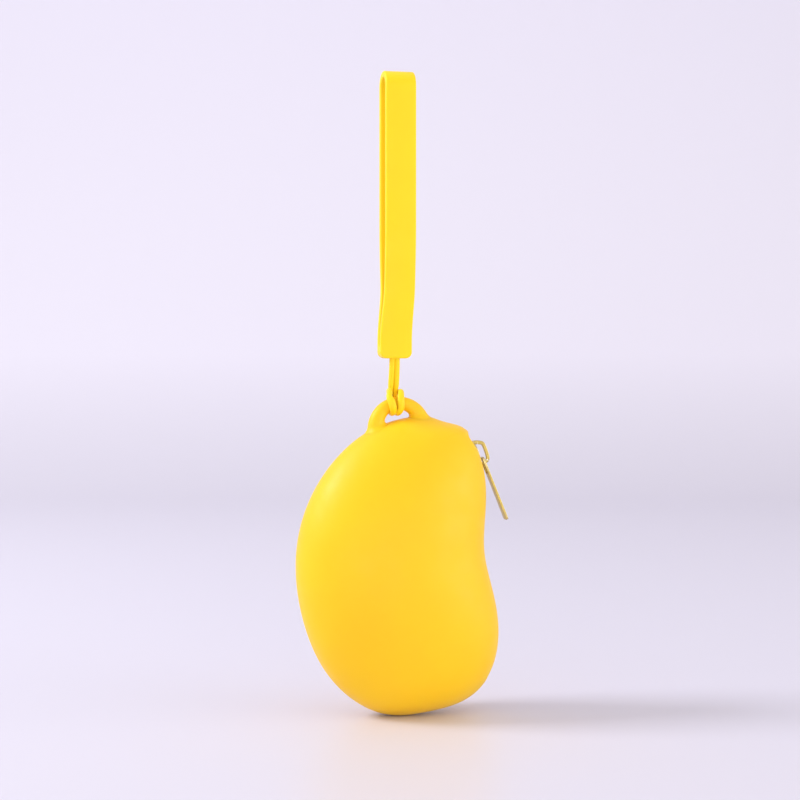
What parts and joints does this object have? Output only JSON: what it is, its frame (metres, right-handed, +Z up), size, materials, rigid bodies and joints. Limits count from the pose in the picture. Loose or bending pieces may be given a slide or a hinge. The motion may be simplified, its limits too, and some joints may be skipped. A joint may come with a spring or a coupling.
{
  "type": "silicone cosmetic pouch",
  "caption": "Mango-shaped soft silicone zip pouch hanging by its moulded ear from a flat wrist strap hitched round it.",
  "frame": {"origin": "inside of the strap loop's top, where a finger or a hook holds it", "axes": "+Z up along the hanging strap, +X towards the zipper, the pouch's seam plane is XZ"},
  "size_m": [0.0761, 0.045, 0.2261],
  "materials": {
    "pouch_shell": "soft matt moulded silicone",
    "zipper_tape_front": "woven polyester",
    "zipper_tape_rear": "woven polyester",
    "zipper_coil_front": "nylon filament",
    "zipper_coil_rear": "nylon filament",
    "top_stop_front": "light gold plating, slightly worn",
    "top_stop_rear": "light gold plating, slightly worn",
    "bottom_stop": "light gold plating, slightly worn",
    "slider_body": "light gold plating, slightly worn",
    "slider_crown": "light gold plating, slightly worn",
    "pull_tab": "light gold plating, slightly worn",
    "wrist_band": "soft matt moulded silicone",
    "neck_strand_left": "soft matt moulded silicone",
    "neck_strand_right": "soft matt moulded silicone",
    "hitch_cord": "soft matt moulded silicone"
  },
  "bodies": {
    "strap": {"wrist_band": "wrist_band", "neck_strand_left": "neck_strand_left", "neck_strand_right": "neck_strand_right"},
    "hitch": {"hitch_cord": "hitch_cord"},
    "pouch": {"pouch_shell": "pouch_shell", "zipper_tape_front": "zipper_tape_front", "zipper_tape_rear": "zipper_tape_rear", "zipper_coil_front": "zipper_coil_front", "zipper_coil_rear": "zipper_coil_rear", "top_stop_front": "top_stop_front", "top_stop_rear": "top_stop_rear", "bottom_stop": "bottom_stop"},
    "slider": {"slider_body": "slider_body", "slider_crown": "slider_crown"},
    "pull": {"pull_tab": "pull_tab"}
  },
  "joints": [
    {"name": "neck_flex", "type": "hinge", "parent": "strap", "child": "hitch", "pos_m": [0, 0, -0.1027], "axis": [0, 1, 0], "range_deg": [-60, 60], "deforming": ["neck_strand_left", "neck_strand_right"]},
    {"name": "ear_swing", "type": "hinge", "parent": "hitch", "child": "pouch", "pos_m": [0, 0, -0.1143], "axis": [1, 0, 0], "range_deg": [-50, 50]},
    {"name": "slider_travel", "type": "hinge", "parent": "pouch", "child": "slider", "pos_m": [-0.0111, 0, -0.146], "axis": [0, 1, 0], "range_deg": [0, 21]},
    {"name": "pull_flip", "type": "hinge", "parent": "slider", "child": "pull", "pos_m": [0.03146, 0, -0.1342], "axis": [0, -1, 0], "range_deg": [0, 140]}
  ]
}
